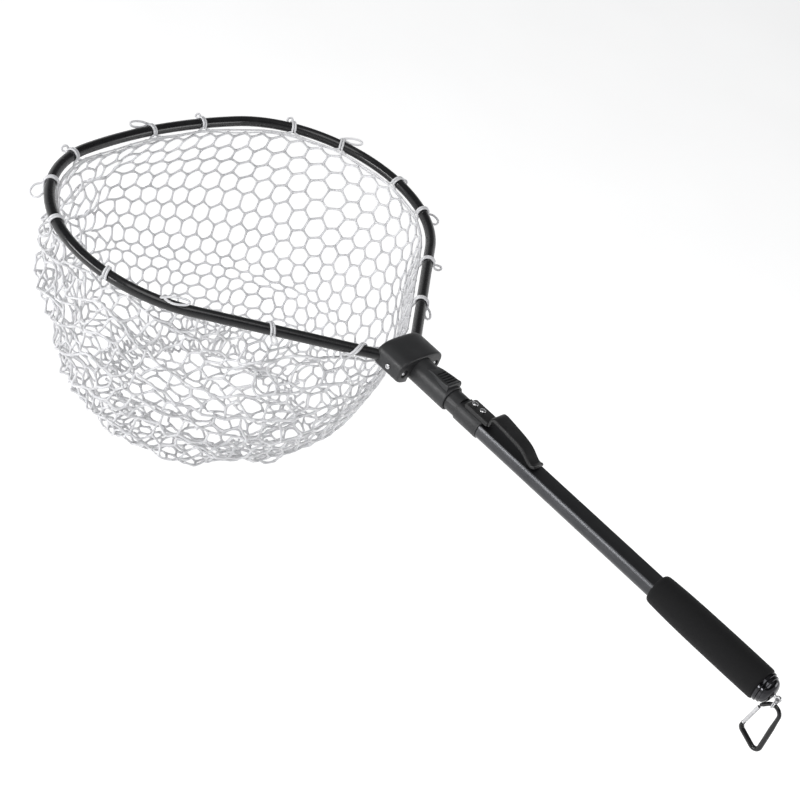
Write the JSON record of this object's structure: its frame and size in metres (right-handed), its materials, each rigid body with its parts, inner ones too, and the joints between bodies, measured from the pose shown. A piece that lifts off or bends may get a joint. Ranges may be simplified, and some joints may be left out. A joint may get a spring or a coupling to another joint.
{
  "type": "folding landing net",
  "caption": "Landing net with a foam grip, a belt clip, a latch sleeve, a head that folds on a cross pin, and a clear rubber mesh bag looped onto a tube hoop.",
  "frame": {"origin": "on the handle's axis at the middle of the foam grip", "axes": "+X along the handle towards the hoop, +Z to the side of the belt clip and thumb pad, with the hoop in the XY plane and the bag hanging along -Z"},
  "size_m": [0.8714, 0.4472, 0.2496],
  "materials": {
    "anodised_dark": "dark grey anodised, satin",
    "hoop_black": "black, semi-gloss",
    "dark_plastic": "charcoal moulded plastic, satin",
    "clip_black": "black moulded plastic, fine grain",
    "grip_foam": "black EVA foam, matte",
    "smoked_chrome": "dark chrome",
    "bright_steel": "bright, polished",
    "gloss_black": "black, gloss",
    "clear_rubber": "translucent, slightly milky"
  },
  "bodies": {
    "handle": {"handle_tube": "anodised_dark", "grip": "grip_foam", "end_cap": "smoked_chrome", "clip_collar": "dark_plastic", "neck_core": "dark_plastic", "belt_clip_base": "clip_black", "clip_screw_1": "bright_steel", "clip_screw_2": "bright_steel", "sleeve_spring": "bright_steel"},
    "head": {"yoke": "dark_plastic", "yoke_screw_left": "bright_steel", "yoke_screw_right": "bright_steel", "hinge_pin": "bright_steel", "pivot_washer_left": "dark_plastic", "pivot_washer_right": "dark_plastic", "hoop_tube": "hoop_black", "net_rim_cord": "clear_rubber", "net_loop_01": "clear_rubber", "net_loop_02": "clear_rubber", "net_loop_03": "clear_rubber", "net_loop_04": "clear_rubber", "net_loop_05": "clear_rubber", "net_loop_06": "clear_rubber", "net_loop_07": "clear_rubber", "net_loop_08": "clear_rubber", "net_loop_09": "clear_rubber", "net_loop_10": "clear_rubber", "net_loop_11": "clear_rubber", "net_loop_12": "clear_rubber", "net_loop_13": "clear_rubber", "net_loop_14": "clear_rubber", "net_loop_15": "clear_rubber", "net_bag": "clear_rubber"},
    "sleeve": {"lock_sleeve": "dark_plastic", "sleeve_key": "bright_steel"},
    "clip": {"belt_clip_arm": "clip_black"},
    "swivel": {"swivel_pin": "bright_steel"},
    "ring": {"split_ring": "bright_steel"},
    "carabiner": {"carabiner_body": "gloss_black", "gate_rivet": "bright_steel"},
    "gate": {"carabiner_gate": "bright_steel"}
  },
  "joints": [
    {"name": "head_fold", "type": "hinge", "parent": "handle", "child": "head", "pos_m": [0.386, 0, 0], "axis": [0, 1, 0], "range_deg": [0, 172], "deforming": ["net_bag", "net_rim_cord"]},
    {"name": "sleeve_slide", "type": "slide", "parent": "handle", "child": "sleeve", "axis": [-1, 0, 0], "range_m": [0, 0.0125], "stiffness_N_per_m": 250, "springref_m": -0.006, "deforming": ["sleeve_spring"]},
    {"name": "clip_flex", "type": "hinge", "parent": "handle", "child": "clip", "pos_m": [0.277, 0, 0.01125], "axis": [0, 1, 0], "range_deg": [0, 5], "stiffness_Nm_per_rad": 0.2, "springref_deg": -2.86},
    {"name": "swivel_spin", "type": "hinge", "parent": "handle", "child": "swivel", "pos_m": [-0.0805, 0, 0], "axis": [1, 0, 0], "continuous": true},
    {"name": "ring_swing", "type": "hinge", "parent": "swivel", "child": "ring", "pos_m": [-0.0805, 0, 0], "axis": [0, 1, 0], "range_deg": [0, 100]},
    {"name": "carabiner_swing", "type": "hinge", "parent": "ring", "child": "carabiner", "pos_m": [-0.0805, 0, -0.00748], "axis": [1, 0, 0], "range_deg": [-45, 45]},
    {"name": "gate_open", "type": "hinge", "parent": "carabiner", "child": "gate", "pos_m": [-0.0675, 0, -0.04288], "axis": [0, -1, 0], "range_deg": [0, 22], "stiffness_Nm_per_rad": 0.02, "springref_deg": -22.92}
  ]
}
